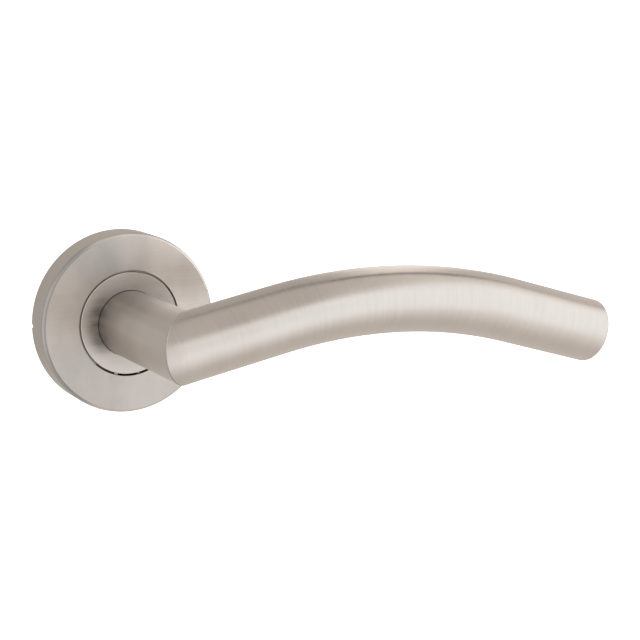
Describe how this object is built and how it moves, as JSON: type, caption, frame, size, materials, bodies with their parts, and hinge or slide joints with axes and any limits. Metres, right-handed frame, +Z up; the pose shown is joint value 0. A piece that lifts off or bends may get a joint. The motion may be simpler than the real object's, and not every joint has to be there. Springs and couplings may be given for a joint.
{
  "type": "door lever handle",
  "caption": "Door lever handle: a mitred stainless tube lever with a gently curved grip, on a sprung round rose with a slide-off cover and a square spindle.",
  "frame": {"origin": "on the spindle's axis, in the plane of the door face that the mounting plate rests on", "axes": "+Y into the door along the spindle, +X along the grip, +Z up"},
  "size_m": [0.163, 0.0947, 0.052],
  "materials": {
    "satin_stainless": "satin, finely brushed",
    "zinc_casting": "die-cast, dull",
    "plated_steel": "bright zinc plated",
    "spring_steel": "oiled, dark",
    "black_steel": "black oxide",
    "black_nylon": "moulded, matt",
    "white_nylon": "moulded, matt"
  },
  "bodies": {
    "rose": {"mounting_plate": "zinc_casting", "neck_bush": "white_nylon", "stop_pins": "plated_steel", "spring_plate": "plated_steel", "centre_disc": "satin_stainless", "fixing_sleeves": "plated_steel", "wood_screws": "plated_steel", "return_spring": "spring_steel"},
    "lever": {"neck_insert": "plated_steel", "drive_cam": "plated_steel", "thrust_washer": "white_nylon", "spring_washer": "spring_steel", "retaining_circlip": "black_steel", "lever_neck": "satin_stainless", "lever_grip": "satin_stainless", "grip_end_cap": "satin_stainless", "spindle": "plated_steel", "grub_screw": "black_steel"},
    "cover": {"rose_cover": "satin_stainless", "cover_liner": "black_nylon"}
  },
  "joints": [
    {"name": "lever_turn", "type": "hinge", "parent": "rose", "child": "lever", "pos_m": [0, 0, 0], "axis": [0, 1, 0], "range_deg": [-45, 45], "stiffness_Nm_per_rad": 1.07, "springref_deg": -3.32, "deforming": ["return_spring"]},
    {"name": "cover_slide", "type": "slide", "parent": "rose", "child": "cover", "axis": [0, -1, 0], "range_m": [0, 0.025]}
  ]
}
